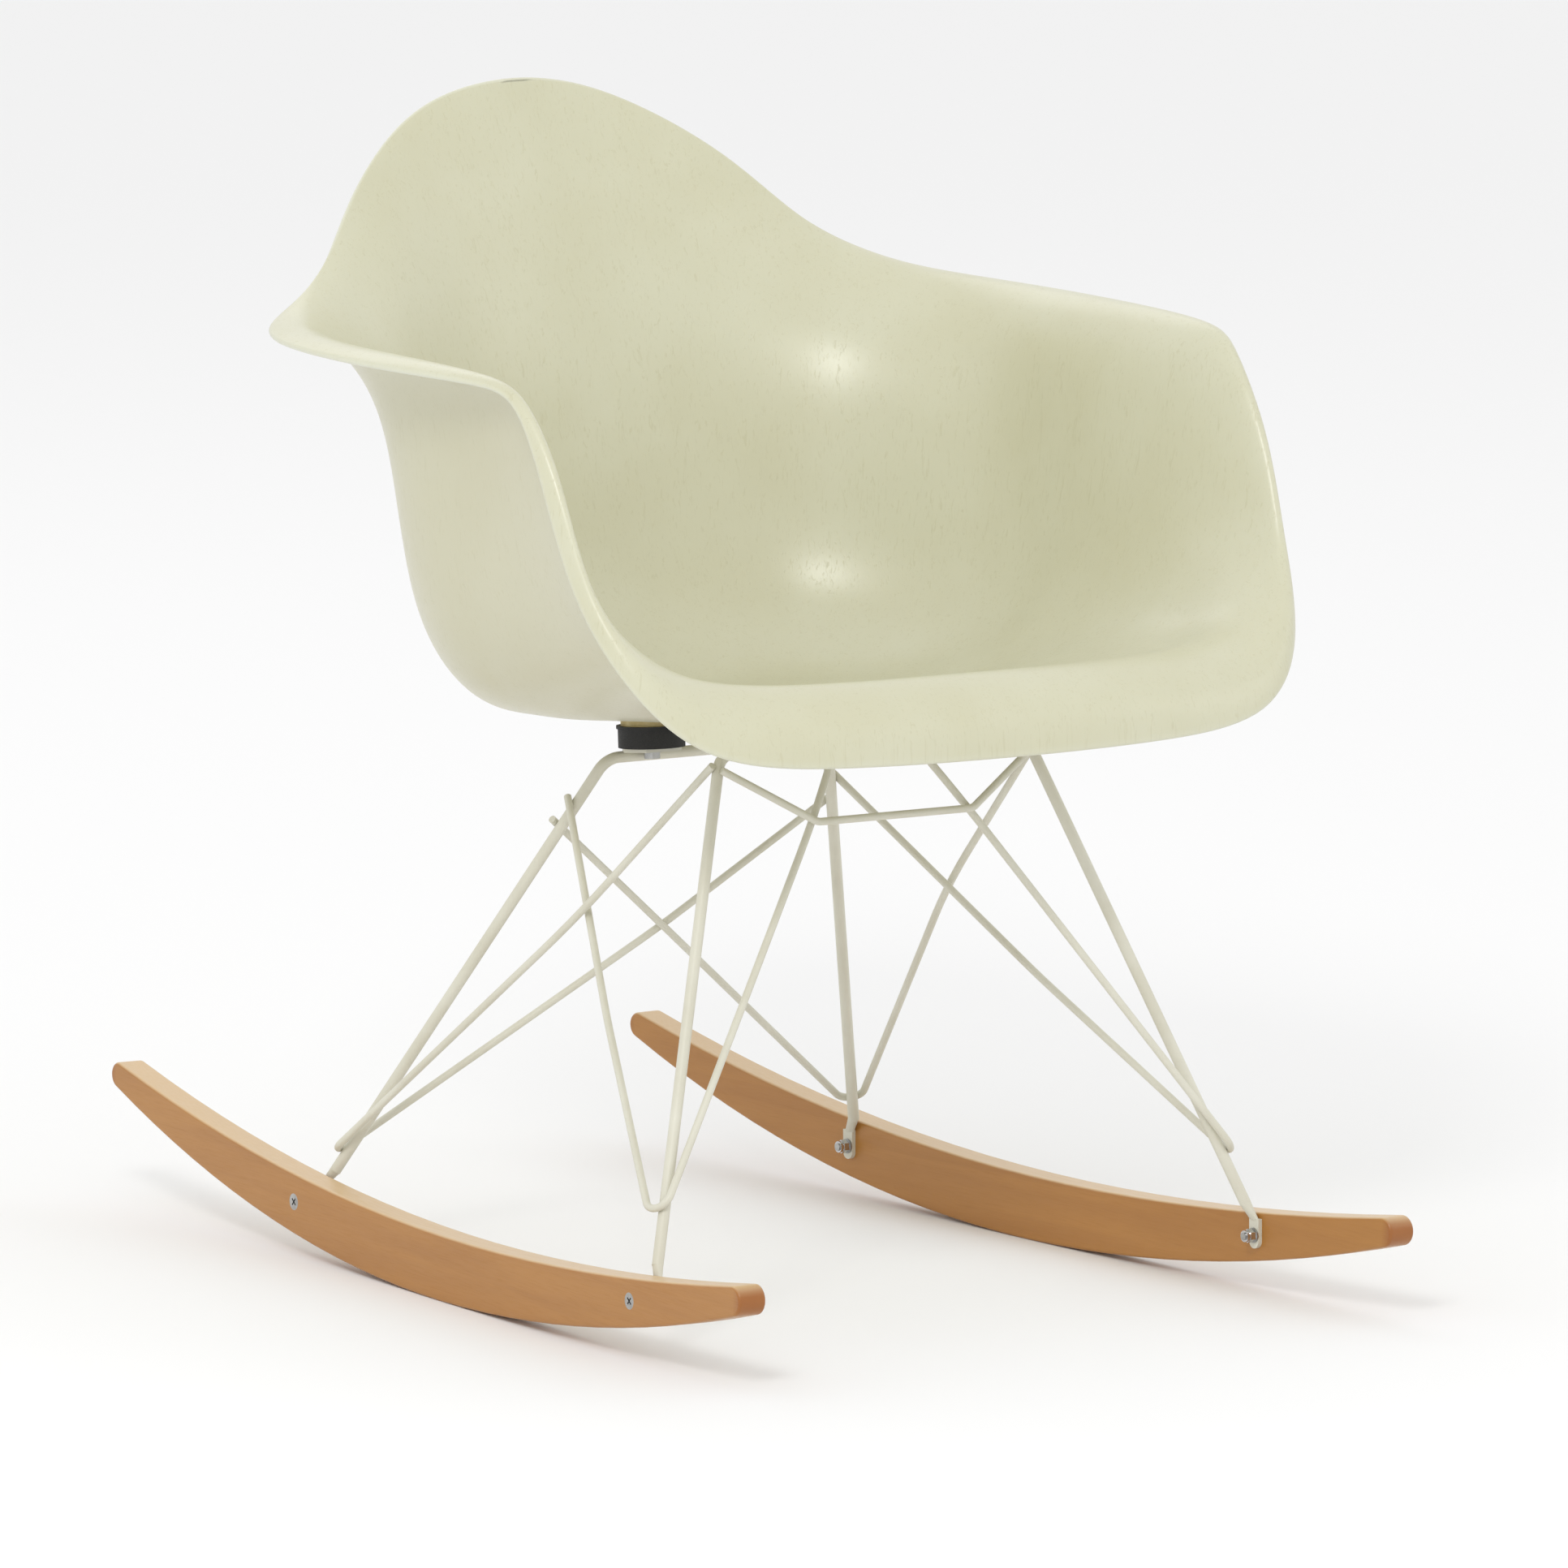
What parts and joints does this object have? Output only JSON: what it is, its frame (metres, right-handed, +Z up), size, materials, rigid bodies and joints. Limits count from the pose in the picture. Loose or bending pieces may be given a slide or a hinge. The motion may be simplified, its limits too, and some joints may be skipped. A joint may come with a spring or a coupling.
{
  "type": "rocking chair",
  "caption": "Rocking armchair: one moulded fibre-glass shell with rolled arms on a welded wire base that stands on two curved wooden rockers.",
  "frame": {"origin": "on the floor, midway between the points where the two rockers touch it, with the chair at rest", "axes": "+X to the sitter's left, +Y from the front of the chair to its back, +Z up"},
  "size_m": [0.6057, 0.8125, 0.7546],
  "materials": {
    "shell": "ivory moulded glass-fibre plastic, satin, faint fibres",
    "maple": "clear-lacquered maple, satin",
    "painted_rod": "off-white powder coat on steel",
    "plain_steel": "zinc-plated steel",
    "bright_nut": "bright nickel-plated steel",
    "black_rubber": "matt black rubber",
    "bond": "set adhesive with glass fibre, rough"
  },
  "bodies": {
    "root": {"front_brace": "painted_rod", "front_leg_hoop": "painted_rod", "front_wire_left": "painted_rod", "front_wire_right": "painted_rod", "mount_bolt_front_left": "plain_steel", "mount_bolt_front_right": "plain_steel", "mount_bolt_rear_left": "plain_steel", "mount_bolt_rear_right": "plain_steel", "mount_insert_front_left": "plain_steel", "mount_insert_front_right": "plain_steel", "mount_insert_rear_left": "plain_steel", "mount_insert_rear_right": "plain_steel", "mount_pad_front_left": "bond", "mount_pad_front_right": "bond", "mount_pad_rear_left": "bond", "mount_pad_rear_right": "bond", "mount_plate_front_left": "painted_rod", "mount_plate_front_right": "painted_rod", "mount_plate_rear_left": "painted_rod", "mount_plate_rear_right": "painted_rod", "mount_washer_front_left": "plain_steel", "mount_washer_front_right": "plain_steel", "mount_washer_rear_left": "plain_steel", "mount_washer_rear_right": "plain_steel", "rear_leg_hoop": "painted_rod", "rear_wire_left": "painted_rod", "rear_wire_right": "painted_rod", "rocker_left": "maple", "rocker_nut_front_left": "bright_nut", "rocker_nut_front_right": "bright_nut", "rocker_nut_rear_left": "bright_nut", "rocker_nut_rear_right": "bright_nut", "rocker_right": "maple", "rocker_screw_front_left": "plain_steel", "rocker_screw_front_right": "plain_steel", "rocker_screw_rear_left": "plain_steel", "rocker_screw_rear_right": "plain_steel", "rocker_washer_front_left": "plain_steel", "rocker_washer_front_right": "plain_steel", "rocker_washer_rear_left": "plain_steel", "rocker_washer_rear_right": "plain_steel", "seat_shell": "shell", "shock_mount_front_left": "black_rubber", "shock_mount_front_right": "black_rubber", "shock_mount_rear_left": "black_rubber", "shock_mount_rear_right": "black_rubber"}
  },
  "joints": []
}
